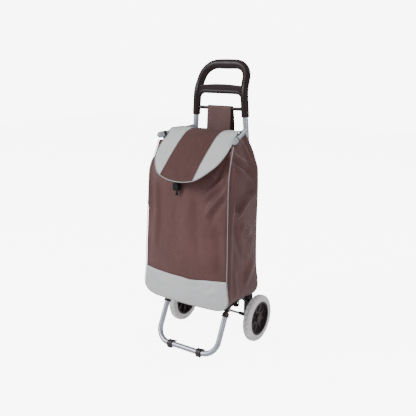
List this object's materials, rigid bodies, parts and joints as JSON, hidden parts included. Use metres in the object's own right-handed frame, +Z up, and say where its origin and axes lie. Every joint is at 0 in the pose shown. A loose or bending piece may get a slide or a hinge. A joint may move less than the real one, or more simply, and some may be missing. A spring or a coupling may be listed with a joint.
{
  "type": "shopping trolley",
  "caption": "Two-wheeled shopping trolley: fabric bag with a lid flap on a bent tube frame, arched handle, fold-back leg stand, spoked wheels and foam tyres.",
  "frame": {"origin": "on the ground, at the middle of the trolley's footprint", "axes": "+Z up, +Y from the bag's front towards the wheels, +X to the right when looking at the back of the trolley from its front"},
  "size_m": [0.3352, 0.33, 0.935],
  "materials": {
    "frame_paint": "light bluish silver powder coat, satin",
    "axle_steel": "zinc plated steel",
    "handle_plastic": "dark brown moulded polypropylene, glossy",
    "brown_plastic": "dark brown moulded polypropylene, satin",
    "black_plastic": "black moulded polypropylene, satin",
    "cap_plastic": "light grey soft plastic",
    "tyre_foam": "off-white foam, matte",
    "brown_fabric": "dark brown coated polyester weave",
    "grey_fabric": "mid grey coated polyester weave",
    "piping_fabric": "light grey piping",
    "webbing": "dark brown webbing",
    "board": "black corrugated plastic board",
    "cord": "dark brown braided cord",
    "tip_plastic": "dark brown moulded tips"
  },
  "bodies": {
    "frame": {"side_tube_left": "frame_paint", "side_tube_right": "frame_paint", "cross_brace": "frame_paint", "support_horn_left": "frame_paint", "support_horn_right": "frame_paint", "axle": "axle_steel", "axle_washers": "axle_steel", "push_nuts": "axle_steel", "bracket_rivets": "axle_steel", "handle_screws": "axle_steel", "knuckle_pin_left": "axle_steel", "knuckle_pin_right": "axle_steel", "cord_eyelet": "axle_steel", "handle": "handle_plastic", "knuckle_left": "brown_plastic", "knuckle_right": "brown_plastic", "wheel_bracket_left": "black_plastic", "wheel_bracket_right": "black_plastic", "horn_cap_left": "cap_plastic", "horn_cap_right": "cap_plastic", "bag_front_panel": "brown_fabric", "bag_gusset_left": "brown_fabric", "bag_gusset_right": "brown_fabric", "bag_back_panel": "brown_fabric", "bag_bottom_panel": "brown_fabric", "mouth_hem": "brown_fabric", "bag_kick_panel": "grey_fabric", "bag_piping_left": "piping_fabric", "bag_piping_right": "piping_fabric", "hanging_strap": "webbing", "horn_loops": "webbing", "back_loops": "webbing", "corner_straps": "webbing", "base_board": "board", "drawcord": "cord", "cord_end_left": "cord", "cord_end_right": "cord", "cord_tips": "tip_plastic"},
    "stand": {"leg_tube": "frame_paint", "leg_socket_left": "brown_plastic", "leg_socket_right": "brown_plastic", "foot_clip_left": "brown_plastic", "foot_clip_right": "brown_plastic"},
    "flap": {"flap_centre_panel": "brown_fabric", "flap_side_panel_left": "grey_fabric", "flap_side_panel_right": "grey_fabric", "flap_piping": "piping_fabric", "flap_fold": "piping_fabric"},
    "wheel_left": {"hub_left": "brown_plastic", "hub_cap_left": "brown_plastic", "tyre_left": "tyre_foam"},
    "wheel_right": {"hub_right": "brown_plastic", "hub_cap_right": "brown_plastic", "tyre_right": "tyre_foam"},
    "cord_lock": {"cord_lock_body": "black_plastic", "cord_lock_spring": "axle_steel"},
    "cord_lock_plunger": {"cord_lock_button": "black_plastic"}
  },
  "joints": [
    {"name": "stand_fold", "type": "hinge", "parent": "frame", "child": "stand", "pos_m": [0, -0.05, 0.152], "axis": [1, 0, 0], "range_deg": [0, 82.7]},
    {"name": "flap_hinge", "type": "hinge", "parent": "frame", "child": "flap", "pos_m": [0, 0.067, 0.7088], "axis": [-1, 0, 0], "range_deg": [0, 80]},
    {"name": "wheel_left_spin", "type": "hinge", "parent": "frame", "child": "wheel_left", "pos_m": [-0.146, 0.085, 0.08], "axis": [1, 0, 0], "continuous": true},
    {"name": "wheel_right_spin", "type": "hinge", "parent": "frame", "child": "wheel_right", "pos_m": [0.146, 0.085, 0.08], "axis": [1, 0, 0], "continuous": true},
    {"name": "cord_lock_slide", "type": "slide", "parent": "frame", "child": "cord_lock", "axis": [0, 0, 1], "range_m": [0, 0.02]},
    {"name": "cord_lock_press", "type": "slide", "parent": "cord_lock", "child": "cord_lock_plunger", "axis": [-1, 0, 0], "range_m": [0, 0.0025], "stiffness_N_per_m": 1200, "springref_m": -0.001, "deforming": ["cord_lock_spring"]}
  ]
}
